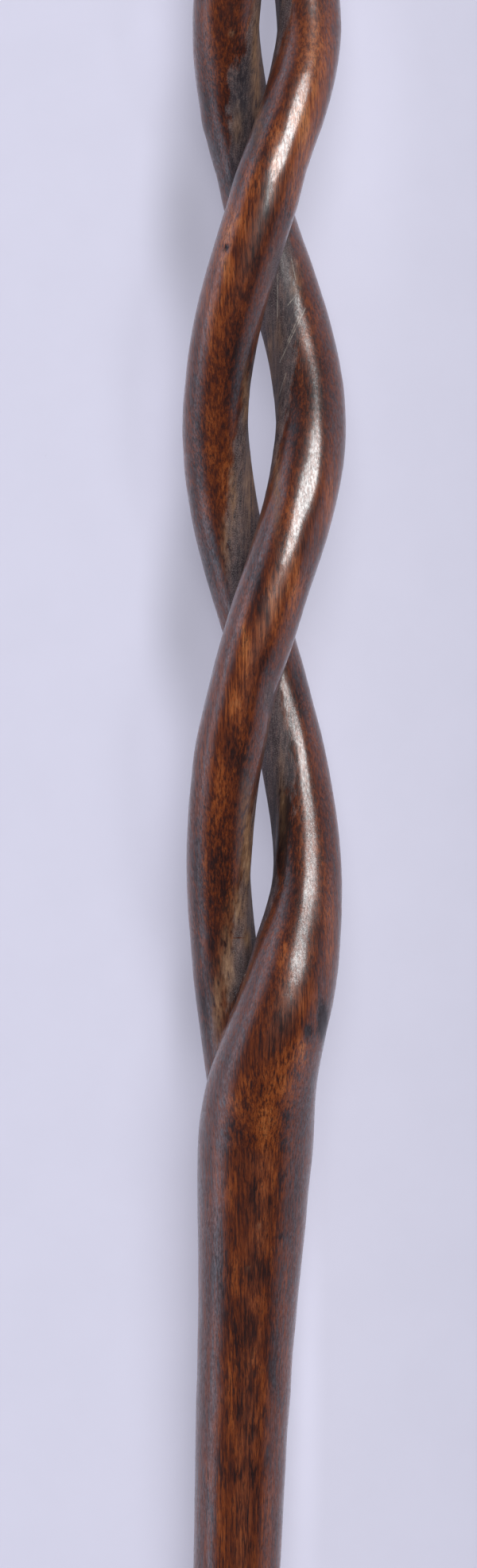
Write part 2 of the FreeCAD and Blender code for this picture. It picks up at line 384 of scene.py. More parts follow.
# Marks in the wood that the photograph shows on the upper side: pixel x and y, half width and half length
# in pixels, and depth in millimetres. The first is the knot, two are the spots at the knee, and four are small
# chips in the shaft
marks = (
    (285, 315, 3, 4, 0.3), (390, 1296, 5, 4, 0.12), (408, 1288, 4, 12, 0.18), (325, 1540, 2.5, 6, 0.15),
    (311, 1595, 4, 3, 0.12), (320, 1724, 3, 4, 0.12), (318, 1802, 3, 6, 0.15),
    # flatter places, where the highlights are wider
    (374, 140, 14, 34, 0.18), (350, 182, 14, 40, 0.24), (378, 486, 16, 40, 0.4), (391, 574, 16, 34, 0.26),
    (384, 620, 17, 42, 0.36), (362, 940, 18, 70, 0.75), (344, 876, 16, 44, 0.75), (398, 1130, 14, 50, 0.28),
    # a corner that the knife left, and two hollows
    (252, 160, 7, 16, -0.5), (290, 130, 8, 22, 0.4), (352, 620, 5, 16, 0.15),
)


def patch_share(places, x, y, wide, long):
    """1 in the middle of a soft patch round a pixel of the photograph, and less and less away from it."""
    middle_x, middle_y = photo_place(x, y)
    far = ((places[:, 0] - middle_x) / (wide * pixel)) ** 2 + ((places[:, 1] - middle_y) / (long * pixel)) ** 2
    return np.exp(-far)


def carve_marks(piece):
    places, facing = points_of(piece)
    for x, y, wide, long, depth in marks:
        share = patch_share(places, x, y, wide, long) * np.clip(facing[:, 2] * 4 + 1, 0, 1)
        places -= facing * (share * depth * mm)[:, None]
    move_points(piece, places)


def displace(piece, texture, strength):
    apply_modifier(
        piece, "DISPLACE", texture=texture, texture_coords="LOCAL", direction="NORMAL",
        strength=strength, mid_level=0.5,
    )


def hand_carving(piece):
    """The slow unevenness that a knife and a rasp leave under the polish."""
    for name, size, strength in (("knife_waves", 26 * mm, 0.7 * mm), ("rasp_waves", 7 * mm, 0.13 * mm)):
        unevenness = bpy.data.textures.new(name, type="CLOUDS")
        unevenness.noise_scale = size
        unevenness.noise_depth = 1
        displace(piece, unevenness, strength)


def cut_between(source, name, low_y, high_y):
    take(source)
    bpy.ops.object.duplicate()
    piece = bpy.context.object
    piece.name = piece.data.name = name
    for plane_y, keep_head_side in ((low_y, True), (high_y, False)):
        if plane_y is None:
            continue
        set_mode("EDIT")
        pick("SELECT")
        bpy.ops.mesh.bisect(
            plane_co=(0, plane_y, 0), plane_no=(0, 1, 0), use_fill=True,
            clear_inner=keep_head_side, clear_outer=not keep_head_side,
        )
        set_mode("OBJECT")
    return piece


def strand_line(rows, half_turns):
    """Places of a strand's middle and its way out from the axis, close together along the twist."""
    heights = np.linspace(lower_plane_y - fork_length, upper_plane_y + fork_length, 240)
    middles, outs = [], []
    for y in heights:
        turn, off_axis = strand_section(y, rows, half_turns)[:2]
        out = outward_from_axis(turn)
        middles.append(axis_point(y) + out * off_axis)
        outs.append(out)
    return heights, np.array(middles), np.array(outs)


strand_lines = (strand_line(strand_a_rows, 0), strand_line(strand_b_rows, 1))


def read_along(heights, values, at):
    return np.stack([np.interp(at, heights, values[:, k]) for k in range(3)], axis=1)


def step_between(low, high, values):
    t = np.clip((values - low) / (high - low), 0, 1)
    return t * t * (3 - 2 * t)


fade_start, fade_end = 15 * mm, 42 * mm     # how far into a fork the rough inner cuts are full, and end


def inner_side(places, facing):
    """How much each point of the wood faces the inside of the twist, from 0 to 1."""
    nearest = np.full(len(places), 1e9)
    inner = np.zeros(len(places))
    for heights, middles, outs in strand_lines:
        middle = read_along(heights, middles, places[:, 1])
        out = read_along(heights, outs, places[:, 1])
        far = np.hypot(places[:, 0] - middle[:, 0], places[:, 2] - middle[:, 2])
        closer = far < nearest
        nearest = np.where(closer, far, nearest)
        towards = -(facing * out).sum(axis=1)
        inner = np.where(closer, towards, inner)
    y = places[:, 1]
    within = step_between(lower_plane_y - fade_end, lower_plane_y - fade_start, y)
    within *= 1 - step_between(upper_plane_y + fade_start, upper_plane_y + fade_end, y)
    return step_between(0.42, 0.90, inner) * within


# Patches on the upper side: pixel x and y, half width and half length in pixels, and strength. These are
# where the wood is more orange, and also painted highlight: lighter orange beside the highlights of the
# first crossing and the right-hand strand, standing for the sheen spreading round them
orange_and_highlight_patches = (
    (400, 80, 18, 60, 1), (346, 190, 12, 45, 0.9), (396, 120, 12, 70, 0.9), (382, 168, 13, 46, 1.5),
    (306, 1600, 10, 40, 0.5), (368, 235, 14, 45, 0.6), (316, 245, 13, 30, 1), (300, 285, 14, 34, 1),
    (289, 300, 11, 22, 1.3), (283, 605, 9, 44, 0.7), (286, 335, 14, 40, 1), (276, 390, 11, 40, 0.7),
    (262, 70, 10, 70, 0.4), (266, 405, 11, 62, 0.75), (268, 540, 12, 60, 0.35), (412, 645, 9, 45, 0.75),
    (366, 650, 8, 40, 0.4), (366, 730, 13, 40, 1), (345, 760, 10, 36, 1), (278, 1930, 8, 60, 0.7),
    (308, 822, 10, 38, 1), (293, 885, 13, 32, 1), (345, 790, 8, 34, 0.5), (264, 955, 10, 40, 0.5),
    (275, 1000, 12, 60, 0.65), (258, 1110, 3, 60, 0.7), (357, 1205, 8, 42, 0.75), (415, 1170, 7, 60, 0.4),
    (379, 1318, 8, 26, 1), (380, 1265, 12, 26, 0.8), (276, 1850, 8, 50, 0.5), (352, 1360, 18, 28, 0.8),
    (366, 1334, 13, 26, 0.8), (296, 1388, 14, 22, 0.8), (330, 800, 9, 24, 0.7), (312, 1362, 15, 16, 0.7),
    (335, 1408, 18, 36, 0.65), (345, 1470, 10, 30, 0.25), (300, 1590, 8, 40, 0.45), (322, 1642, 12, 20, 0.4),
    (322, 1712, 10, 14, 0.4), (294, 1480, 8, 60, 0.5), (332, 1772, 9, 44, 0.7), (290, 1740, 7, 60, 0.45),
    (308, 1900, 12, 70, 0.5), (331, 1500, 8, 20, 0.3), (335, 1900, 8, 50, 0.35),
)
# Where it is nearly black: dark stains and spots, and painted shade along the left-hand edges and beside the
# first crossing
dark_and_shade_patches = (
    (336, 262, 6, 40, 0.6), (318, 312, 9, 26, 0.35), (303, 116, 13, 62, 1.2), (300, 172, 12, 34, 0.9),
    (334, 150, 8, 60, 0.6), (318, 197, 7, 40, 0.6), (290, 222, 12, 24, 1), (321, 728, 9, 26, 0.8),
    (272, 175, 14, 34, 0.7), (297, 470, 10, 60, 0.5), (246, 600, 8, 60, 0.5), (372, 420, 10, 70, 0.5),
    (392, 500, 12, 50, 0.4), (262, 720, 12, 50, 0.9), (334, 835, 5, 24, 0.5), (300, 950, 18, 30, 0.4),
    (356, 690, 5, 26, 0.5), (364, 960, 8, 60, 0.7), (356, 1045, 12, 75, 1.4), (272, 1085, 15, 55, 0.45),
    (376, 880, 9, 40, 0.6), (279, 1077, 8, 10, 0.8), (284, 1120, 12, 30, 0.6), (262, 1215, 10, 50, 0.5),
    (370, 1080, 10, 60, 0.5), (355, 1292, 10, 16, 0.4), (372, 1345, 6, 18, 0.35), (262, 1290, 8, 40, 0.7),
    (360, 1405, 5, 12, 1), (357, 1440, 4, 8, 1), (310, 1392, 5, 7, 0.4), (293, 1412, 6, 9, 0.8),
    (290, 1447, 9, 24, 0.6), (354, 1482, 4, 20, 0.7), (322, 1505, 5, 24, 0.7), (340, 1512, 6, 9, 0.6),
    (352, 1556, 12, 3, 0.7), (325, 1600, 18, 26, 0.5), (298, 1682, 8, 38, 0.7), (299, 1762, 6, 24, 0.9),
    (318, 1803, 6, 8, 1), (318, 1852, 4, 16, 1), (345, 1722, 6, 60, 0.5), (300, 1856, 8, 8, 0.6),
    (262, 1890, 4, 20, 0.4), (316, 1946, 5, 12, 0.8), (388, 1296, 5, 6, 2), (405, 1285, 4.5, 18, 4.5),
    (285, 315, 3.4, 4, 2.2), (366, 390, 10, 44, 0.9), (249, 560, 8, 110, 0.7), (250, 1110, 8, 170, 0.6),
    (260, 1262, 10, 60, 0.9), (262, 130, 10, 80, 0.6), (319, 165, 6, 30, 0.8), (371, 500, 9, 70, 0.7),
    (313, 480, 8, 50, 0.6), (361, 276, 8, 26, 0.6), (250, 1480, 10, 60, 0.3), (277, 1600, 10, 46, 0.8),
    (312, 1690, 9, 40, 0.5), (375, 1500, 10, 60, 0.4),
)
# Where it is rubbed bare and tan
worn_patches = (
    (309, 505, 4, 36, 0.75), (293, 622, 5, 40, 0.8), (315, 610, 9, 60, 0.7), (285, 685, 6, 34, 0.65),
    (311, 1070, 8, 60, 1), (340, 455, 4, 50, 0.5), (348, 610, 4, 50, 0.6), (287, 1212, 8, 46, 0.8),
    (311, 1180, 5, 13, 0.9), (300, 1142, 8, 22, 0.8), (354, 1000, 5, 50, 0.4), (291, 45, 2.2, 4, 0.8),
    (323, 88, 6, 70, 1.1), (298, 160, 7, 20, 0.45), (350, 425, 6, 26, 0.4), (274, 1270, 7, 40, 0.75),
    (347, 500, 6, 60, 0.3), (372, 350, 7, 22, 0.4), (325, 1541, 1.6, 4, 0.4), (311, 1595, 2, 1.8, 0.4),
)
# Fine scratches: the pixels that each runs between, and its half width in pixels
scratches = (
    ((384, 388), (352, 456), 1), ((376, 398), (362, 430), 0.8), ((372, 372), (362, 384), 0.8),
    ((349, 345), (349, 400), 0.8), ((366, 322), (372, 352), 0.7), ((360, 470), (351, 498), 0.7),
)
# Where the rough cuts of the inner side reach further over the strand
rough_patches = (
    (356, 350, 20, 50, 1), (354, 400, 20, 40, 1), (346, 450, 10, 40, 0.9), (344, 500, 5, 40, 0.8),
    (346, 930, 10, 50, 0.75), (340, 880, 8, 30, 0.8), (320, 120, 5, 60, 0.6), (296, 125, 12, 60, 0.85),
    (290, 1225, 12, 40, 0.7),
)
# Where the inner side is smooth and polished
smooth_patches = ((364, 872, 11, 44, 1), (374, 925, 11, 34, 0.8), (356, 1050, 11, 60, 0.8))
# Where the polish is duller
matt_patches = (
    (392, 1040, 26, 90, 0.92), (347, 1040, 9, 85, 1.25), (380, 1170, 26, 60, 0.92), (368, 1236, 26, 32, 1),
    (247, 560, 9, 120, 0.5), (250, 1120, 10, 160, 0.5), (256, 1250, 10, 60, 0.8), (384, 104, 18, 36, 0.65),
    (330, 250, 12, 20, 0.8), (368, 900, 20, 56, 0.88), (380, 400, 20, 56, 1), (362, 540, 10, 60, 0.8),
    (260, 120, 10, 80, 0.6), (340, 105, 10, 50, 0.8), (323, 170, 9, 40, 0.8), (306, 215, 8, 30, 0.6),
    (285, 314, 6, 6, 1), (406, 1285, 7, 20, 1.3), (390, 1296, 6, 7, 0.8), (396, 470, 24, 60, 1),
    (360, 1270, 40, 40, 0.8), (315, 300, 30, 40, 0.5),
)


def painted(places, facing, patches):
    amount = np.zeros(len(places))
    upper = np.clip(facing[:, 2] * 3 + 0.6, 0, 1)
    for x, y, wide, long, strength in patches:
        amount = np.maximum(amount, strength * patch_share(places, x, y, wide, long) * upper)
    return amount


# What the wood's finish reads at each point of a piece
wood_amounts = ("inner_side", "warm_patch", "dark_patch", "worn_patch", "matt_patch")


def write_amount(piece, name, amount):
    layer = piece.data.attributes.new(name, "FLOAT", "POINT")
    layer.data.foreach_set("value", amount.astype(np.float32))


def mark_wood(piece):
    places, facing = points_of(piece)
    rough = np.maximum(inner_side(places, facing), painted(places, facing, rough_patches))
    rough *= 1 - np.clip(painted(places, facing, smooth_patches) * 1.5, 0, 1)
    write_amount(piece, "inner_side", rough)
    # The orange patches also hold painted highlight, and the dark ones painted shade
    for name, patches in zip(wood_amounts[1:], (orange_and_highlight_patches, dark_and_shade_patches, worn_patches, matt_patches)):
        write_amount(piece, name, painted(places, facing, patches))


def shade(piece, degrees=35):
    take(piece)
    bpy.ops.object.shade_smooth_by_angle(angle=math.radians(degrees))


def wooden_pieces():
    billet = one_billet()
    hand_carving(billet)
    carve_marks(billet)
    lower = cut_between(billet, "carved_lower_shaft", None, lower_plane_y)
    strands = cut_between(billet, "carved_strand_a", lower_plane_y, upper_plane_y)
    upper = cut_between(billet, "carved_upper_shaft", upper_plane_y, None)
    take(strands)
    set_mode("EDIT")
    pick("SELECT")
    bpy.ops.mesh.separate(type="LOOSE")
    set_mode("OBJECT")
    loose = list(bpy.context.selected_objects)
    foot_of_first = strand_lines[0][1][np.searchsorted(strand_lines[0][0], lower_plane_y)]

    def from_first(piece):
        places = points_of(piece)[0]
        low = places[places[:, 1] < lower_plane_y + 2 * mm].mean(axis=0)
        return np.hypot(low[0] - foot_of_first[0], low[2] - foot_of_first[2])

    loose.sort(key=from_first)
    strand_a, strand_b = loose[:2]
    strand_b.name = strand_b.data.name = "carved_strand_b"
    strand_a.name = strand_a.data.name = "carved_strand_a"
    bpy.data.objects.remove(billet)
    pieces = {"lower_shaft": lower, "strand_a": strand_a, "strand_b": strand_b, "upper_shaft": upper}
    for node_name, piece in pieces.items():
        mark_wood(piece)
        shade(piece)
        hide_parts(node_name)
        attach(piece, "root")
    return pieces


def spun(name, outline, centre, steps):
    """A round piece turned from its outline, given as radius and height above the centre."""
    deselect_all()
    bpy.ops.mesh.primitive_circle_add(vertices=3, radius=1 * mm, location=(0, 0, 0))
    piece = bpy.context.object
    piece.name = piece.data.name = name
    set_mode("EDIT")
    mesh = open_mesh(piece)
    bmesh.ops.delete(mesh, geom=mesh.verts[1:], context="VERTS")
    mesh.verts.ensure_lookup_table()
    mesh.verts[0].co = centre + Vector((outline[0][0], outline[0][1], 0))
    mesh.verts[0].select = True
    bmesh.update_edit_mesh(piece.data)
    for (radius, height), (next_radius, next_height) in zip(outline, outline[1:]):
        bpy.ops.mesh.extrude_region_move(
            TRANSFORM_OT_translate={"value": (next_radius - radius, next_height - height, 0)}
        )
    pick("SELECT")
    bpy.ops.mesh.spin(steps=steps, angle=2 * math.pi, center=centre, axis=(0, 1, 0))
    pick("SELECT")
    bpy.ops.mesh.remove_doubles(threshold=0.005 * mm)
    bpy.ops.mesh.normals_make_consistent(inside=False)
    set_mode("OBJECT")
    return piece


lathe_steps = 128
collar_edge, collar_steps = 0.3 * mm, 12
collar_foot = neck_radius - 0.4 * mm
collar_bulge = knob_collar_radius - neck_radius + 0.6 * mm
ball_steps, tip_radius = 56, 0.5 * mm
groove_places, groove_width = (0.36, 0.40), 0.008      # shares of the ball's length
groove_depth = 0.35 * mm


def turned_knob():
    ball_length = knob_length - knob_collar_length
    outline = [(0, 0), (neck_radius - collar_edge, 0), (neck_radius, collar_edge)]
    for i in range(1, collar_steps):
        a = math.pi * i / collar_steps
        outline.append((collar_foot + collar_bulge * math.sin(a), knob_collar_length / 2 * (1 - math.cos(a))))
    heights = [knob_collar_length + ball_length * h for h, r in knob_outline_rows]
    radii = [knob_radius * r for h, r in knob_outline_rows]
    for i in range(1, ball_steps):
        share = 1 - (1 - i / ball_steps) ** 1.5
        height = heights[0] + (heights[-1] - heights[0]) * share
        radius = smooth(heights, radii, height)
        for groove in groove_places:
            off_groove = ((height - heights[0]) / ball_length - groove) / groove_width
            radius -= groove_depth * math.exp(-off_groove ** 2)
        outline.append((max(radius, tip_radius), height))
    outline.append((0, heights[-1]))
    piece = spun("turned_head_knob", outline, axis_point(shoulder_y), lathe_steps)
    apply_modifier(piece, "SUBSURF", levels=1, render_levels=1)
    wear = bpy.data.textures.new("knob_wear", type="CLOUDS")
    wear.noise_scale = 14 * mm
    displace(piece, wear, 0.25 * mm)
    for name in wood_amounts:
        write_amount(piece, name, np.zeros(len(piece.data.vertices)))
    shade(piece)
    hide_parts("head_knob")
    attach(piece, "root")
    return piece


lip_rounding = 0.12 * mm


def drawn_ferrule():
    outline = [(radius * mm, height * mm) for radius, height in ferrule_outline_rows]
    piece = spun("drawn_foot_ferrule", outline, Vector((0, 0, 0)), lathe_steps)
    apply_modifier(
        piece, "BEVEL", width=lip_rounding, segments=2, limit_method="ANGLE", angle_limit=math.radians(30)
    )
    shade(piece, 40)
    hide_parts("foot_ferrule")
    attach(piece, "root")
    return piece


head_step, head_rise = 0.3 * mm, 0.07 * mm


def domed_pins():
    """The two pins through the ferrule, with the heads peened over."""
    pins = []
    for way in (1, -1):
        deselect_all()
        middle = Vector((-way * (shaft_foot_radius - pin_middle_depth), ferrule_length * pin_height_share, 0))
        bpy.ops.mesh.primitive_cylinder_add(
            vertices=32, radius=pin_radius, depth=pin_length, location=middle, rotation=(0, math.pi / 2, 0)
        )
        pin = bpy.context.object
        bpy.ops.object.transform_apply(location=True, rotation=True, scale=True)
        set_mode("EDIT")
        pick("DESELECT")
        mesh = bmesh.from_edit_mesh(pin.data)
        for face in mesh.faces:
            face.select = face.normal.x * way < -0.9
        bmesh.update_edit_mesh(pin.data)
        for ring in range(2):
            bpy.ops.mesh.inset(thickness=head_step)
            bpy.ops.transform.translate(value=(-way * head_rise, 0, 0))
        set_mode("OBJECT")
        pins.append(pin)
    take(pins[0])
    pins[1].select_set(True)
    bpy.ops.object.join()
    piece = bpy.context.object
    piece.name = piece.data.name = "peened_ferrule_pins"
    shade(piece, 40)
    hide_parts("ferrule_pins")
    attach(piece, "root")
    return piece


def add_node(tree, kind, settings=None, **inputs):
    """A shader node with its settings and with its inputs set or linked by name."""
    node = tree.nodes.new(kind)
    for name, value in (settings or {}).items():
        setattr(node, name, value)
    feed_all(tree, node, **inputs)
    return node


def feed_all(tree, node, **inputs):
    for name, value in inputs.items():
        feed(tree, node, name.replace("_", " "), value)


def feed(tree, node, name, value):
    """Sets or links an input, which is given by its name or, where names repeat, as i and its number."""
    socket = node.inputs[int(name[1:])] if name[0] == "i" and name[1:].isdigit() else node.inputs[name]
    if isinstance(value, bpy.types.NodeSocket):
        tree.links.new(value, socket)
    else:
        socket.default_value = value


def maths(tree, operation, first, second, clamp=False):
    node = add_node(tree, "ShaderNodeMath", {"operation": operation, "use_clamp": clamp}, i0=first, i1=second)
    return node.outputs[0]


def plus(tree, first, *others, clamp=False):
    for other in others:
        first = maths(tree, "ADD", first, other, clamp)
    return first


def minus(tree, first, second, clamp=False):
    return maths(tree, "SUBTRACT", first, second, clamp)


def times(tree, first, second, clamp=False):
    return maths(tree, "MULTIPLY", first, second, clamp)


def vector_maths(tree, operation, **inputs):
    """Returns the node's outputs, Vector and Value."""
    return add_node(tree, "ShaderNodeVectorMath", {"operation": operation}, **inputs).outputs


def spread(tree, value, low, high, to_low=0.0, to_high=1.0):
    """Eases from one value to the other between low and high."""
    node = add_node(
        tree, "ShaderNodeMapRange", {"interpolation_type": "SMOOTHSTEP"},
        Value=value, From_Min=low, From_Max=high, To_Min=to_low, To_Max=to_high,
    )
    return node.outputs["Result"]


def mixed(tree, amount, first, second, way="MIX"):
    node = add_node(tree, "ShaderNodeMix", {"data_type": "RGBA", "blend_type": way})
    for name, value in (("i0", amount), ("i6", first), ("i7", second)):
        feed(tree, node, name, (*value, 1) if isinstance(value, tuple) else value)
    return node.outputs[2]


def object_place(tree):
    return add_node(tree, "ShaderNodeTexCoord").outputs["Object"]


def axes_of(tree, place):
    return add_node(tree, "ShaderNodeSeparateXYZ", Vector=place).outputs


def grain_noise(tree, place, stretch, scale, detail=2.0, roughness=0.5, moved=0.0):
    """Noise drawn out along the staff. stretch is how many times longer than wide it is."""
    moved = (moved, moved * 1.7, moved * 0.6)
    mapping = add_node(tree, "ShaderNodeMapping", Vector=place, Scale=(1, 1 / stretch, 1), Location=moved)
    node = add_node(
        tree, "ShaderNodeTexNoise", Vector=mapping.outputs[0], Scale=scale, Detail=detail, Roughness=roughness
    )
    return node.outputs["Fac"]


def colour_ramp(tree, value, stops):
    node = tree.nodes.new("ShaderNodeValToRGB")
    ramp = node.color_ramp
    while len(ramp.elements) < len(stops):
        ramp.elements.new(0.5)
    for element, (place, colour) in zip(ramp.elements, stops):
        element.position = place
        element.color = (*colour, 1)
    tree.links.new(value, node.inputs[0])
    return node.outputs[0]


def scratch(tree, place, start, end, wide):
    """1 on a fine straight line between two pixels of the photograph, on the upper side, and 0 off it."""
    (start_x, start_y), (end_x, end_y) = photo_place(*start), photo_place(*end)
    way = Vector((end_x - start_x, end_y - start_y, 0))
    flat = vector_maths(tree, "MULTIPLY", i0=place, i1=(1, 1, 0))["Vector"]
    gone = vector_maths(tree, "SUBTRACT", i0=flat, i1=(start_x, start_y, 0))["Vector"]
    share = vector_maths(tree, "DOT_PRODUCT", i0=gone, i1=way / way.length_squared)["Value"]
    foot = vector_maths(tree, "SCALE", i0=way, Scale=plus(tree, share, 0.0, clamp=True))["Vector"]
    off = vector_maths(tree, "DISTANCE", i0=gone, i1=foot)["Value"]
    above = axes_of(tree, place)["Z"]
    return times(tree, spread(tree, off, wide * 0.4, wide, 1.0, 0.0), spread(tree, above, 2 * mm, 6 * mm))


def new_group(name, ins, outs):
    tree = bpy.data.node_groups.new(name, "ShaderNodeTree")
    for title, kind, value in ins:
        tree.interface.new_socket(name=title, in_out="INPUT", socket_type=kind).default_value = value
    for title, kind in outs:
        tree.interface.new_socket(name=title, in_out="OUTPUT", socket_type=kind)
    return tree, tree.nodes.new("NodeGroupInput"), tree.nodes.new("NodeGroupOutput")


number, colour_kind = "NodeSocketFloat", "NodeSocketColor"

# The wood's colours from its darkest streaks to its most orange, and those of rough cuts and bare places
wood_tones = (
    (0, (0.007, 0.004, 0.005)), (0.22, (0.028, 0.008, 0.006)), (0.42, (0.082, 0.017, 0.006)),
    (0.58, (0.155, 0.033, 0.007)), (0.78, (0.275, 0.069, 0.015)), (1, (0.42, 0.14, 0.04)),
)
cut_tones = (
    (0.32, (0.013, 0.01, 0.013)), (0.43, (0.04, 0.03, 0.035)), (0.52, (0.075, 0.057, 0.063)),
    (0.61, (0.142, 0.092, 0.084)), (0.73, (0.29, 0.18, 0.136)),
)
bare_tones = ((0.4, (0.13, 0.06, 0.03)), (0.52, (0.26, 0.135, 0.068)), (0.66, (0.44, 0.27, 0.145)))
line_brown = (0.026, 0.009, 0.007)
fleck_black = (0.013, 0.006, 0.006)
dash_black = (0.020, 0.008, 0.008)
cut_black = (0.014, 0.010, 0.016)
grit_grey = (0.300, 0.245, 0.230)
scratch_grey = (0.340, 0.290, 0.250)


def socket_title(amount_name):
    return amount_name.replace("_", " ").title()


def off_middle(tree, value, amount):
    """A noise's way up or down from its middle, taken so many times."""
    return times(tree, minus(tree, value, 0.5), amount)


def share_of(tree, first, second, share):
    """The first value and the second, mixed so that the first has the share."""
    return plus(tree, times(tree, first, share), times(tree, second, 1 - share))


def polished_wood_group():
    """Dark hand-polished hardwood: its colour, and where it is rough, polished, pitted or worn."""
    tree, given, out = new_group(
        "polished_wood",
        [(socket_title(name), number, 0.0) for name in wood_amounts],
        (("Colour", colour_kind), ("Roughness", number), ("Polish", number), ("Height", number)),
    )
    inner, warm, dark, worn, matt = (given.outputs[socket_title(name)] for name in wood_amounts)
    place = object_place(tree)
    zones = grain_noise(tree, place, 6, 120)
    blotches = grain_noise(tree, place, 4, 340, 4, 0.6, 0.13)
    streaks = grain_noise(tree, place, 20, 1500, 3, 0.65, 0.31)
    fibres = grain_noise(tree, place, 10, 3400, 2, 0.6, 0.57)
    vessels = grain_noise(tree, place, 9, 2600, 2, 0.5, 0.83)
    scuffs = grain_noise(tree, place, 3, 520, 5, 0.72, 1.1)
    sparkle = grain_noise(tree, place, 3, 2200, 2, 0.7, 1.7)
    grit = grain_noise(tree, place, 1.3, 4000, 2, 0.6, 2.3)

    # The tone of the grain, lighter in orange patches and painted highlight, and deeper in dark stains and
    # painted shade
    tone = plus(
        tree, 0.46, off_middle(tree, zones, 0.58), off_middle(tree, blotches, 0.42),
        off_middle(tree, spread(tree, streaks, 0.34, 0.66), 0.26), off_middle(tree, fibres, 0.58),
    )
    ragged = share_of(tree, streaks, blotches, 0.6)
    # Orange wood and painted highlight lift the tone here, and dark stains and painted shade lower it
    orange_and_highlight_lift = times(tree, warm, spread(tree, ragged, 0.3, 0.58, 0.62, 1.0))
    dark_stain_and_shade = times(tree, dark, spread(tree, ragged, 0.66, 0.42, 0.4, 1.0))
    tone = minus(tree, plus(tree, tone, times(tree, orange_and_highlight_lift, 0.42)), times(tree, dark_stain_and_shade, 0.28))
    colour = colour_ramp(tree, tone, wood_tones)

    # Brown lines, dark vessel flecks and, mostly on the shaft, black dashes
    lines = times(tree, spread(tree, fibres, 0.52, 0.66), spread(tree, zones, 0.35, 0.62, 0.3, 0.75))
    colour = mixed(tree, lines, colour, line_brown)
    # The dark patches, painted shade among them, also add flecks and dashes and blacken the rough cuts
    dense = plus(tree, vessels, times(tree, dark_stain_and_shade, 0.17), off_middle(tree, blotches, 0.25))
    fleck_depth = plus(tree, 0.6, times(tree, dark_stain_and_shade, 0.3), clamp=True)
    flecks = times(tree, spread(tree, dense, 0.57, 0.64), fleck_depth)
    colour = mixed(tree, flecks, colour, fleck_black)
    dashes = plus(tree, minus(tree, streaks, times(tree, dark_stain_and_shade, 0.05)), off_middle(tree, blotches, 0.2))
    up_staff = axes_of(tree, place)["Y"]
    on_shaft = spread(tree, up_staff, lower_plane_y - 25 * mm, lower_plane_y + 15 * mm, 0.8, 0.4)
    dashes = times(tree, spread(tree, dashes, 0.33, 0.445, 1.0, 0.0), on_shaft)
    colour = mixed(tree, dashes, colour, dash_black)

    # The rough cuts of the inner side, the places rubbed bare and the scratches
    speckle = share_of(tree, streaks, scuffs, 0.45)
    wear = plus(tree, inner, off_middle(tree, scuffs, 1.1), off_middle(tree, blotches, 0.7))
    wear = times(tree, spread(tree, wear, 0.3, 0.76), spread(tree, inner, 0.0, 0.3))
    rough_cut = colour_ramp(tree, speckle, cut_tones)
    rough_cut = mixed(tree, times(tree, spread(tree, grit, 0.48, 0.64), 0.55), rough_cut, grit_grey)
    rough_cut = mixed(tree, times(tree, dark_stain_and_shade, 0.9, True), rough_cut, cut_black)
    colour = mixed(tree, times(tree, wear, 0.9), colour, rough_cut)
    bare = times(tree, worn, spread(tree, speckle, 0.36, 0.5))
    colour = mixed(tree, bare, colour, colour_ramp(tree, speckle, bare_tones))
    wear = maths(tree, "MAXIMUM", wear, bare)
    scratched = 0.0
    for start, end, wide in scratches:
        scratched = maths(tree, "MAXIMUM", scratched, scratch(tree, place, start, end, wide * pixel))
    scratched = times(tree, scratched, spread(tree, sparkle, 0.38, 0.55, 0.15, 0.75))
    colour = mixed(tree, scratched, colour, scratch_grey)

    # Roughness, the polish that lies on top, broken up by glints and grit, and the height of the grain
    grain = share_of(tree, fibres, streaks, 0.6)
    roughness = plus(tree, 0.33, off_middle(tree, grain, 0.3))
    roughness = plus(tree, roughness, times(tree, wear, 0.34), clamp=True)
    glints = share_of(tree, sparkle, streaks, 0.6)
    polish = minus(tree, spread(tree, glints, 0.38, 0.58, 1.0, 0.4), times(tree, flecks, 0.25), True)
    polish = times(tree, polish, minus(tree, 1.0, times(tree, wear, 0.9)), True)
    dulled = times(tree, matt, spread(tree, grit, 0.38, 0.6, 0.42, 1.0))
    polish = times(tree, polish, minus(tree, 1.0, dulled), True)
    height = minus(tree, times(tree, grain, 0.35), times(tree, flecks, 0.22))
    height = plus(tree, height, times(tree, times(tree, wear, scuffs), 3.2))
    feed_all(tree, out, Colour=colour, Roughness=roughness, Polish=polish, Height=height)
    return tree


bright_brass, dull_brass = (0.62, 0.44, 0.2, 1), (0.17, 0.1, 0.05, 1)
bright_pin, dull_pin = (0.7, 0.5, 0.24, 1), (0.25, 0.15, 0.07, 1)


def old_metal_group():
    """Metal that has gone dull, with brown spots and fine rubbed scratches."""
    tree, given, out = new_group(
        "old_metal",
        (("Bright", colour_kind, bright_brass), ("Dull", colour_kind, dull_brass)),
        (("Colour", colour_kind), ("Roughness", number), ("Height", number)),
    )
    place = object_place(tree)
    clouds = grain_noise(tree, place, 1, 160, 4, 0.6, 0.4)
    spots = grain_noise(tree, place, 1, 900, 3, 0.6, 0.9)
    rubbed = grain_noise(tree, place, 0.05, 900, 2, 0.6, 0.2)
    dulled = spread(tree, share_of(tree, clouds, spots, 0.7), 0.4, 0.64)
    colour = mixed(tree, dulled, given.outputs["Bright"], given.outputs["Dull"])
    roughness = plus(tree, 0.26, times(tree, dulled, 0.3))
    roughness = plus(tree, roughness, times(tree, rubbed, 0.12), clamp=True)
    height = plus(tree, times(tree, rubbed, 0.5), times(tree, spots, 0.4))
    feed_all(tree, out, Colour=colour, Roughness=roughness, Height=height)
    return tree


def new_material(name):
    material = bpy.data.materials.new(name)
    material.use_nodes = True
    tree = material.node_tree
    return material, tree, tree.nodes["Principled BSDF"]


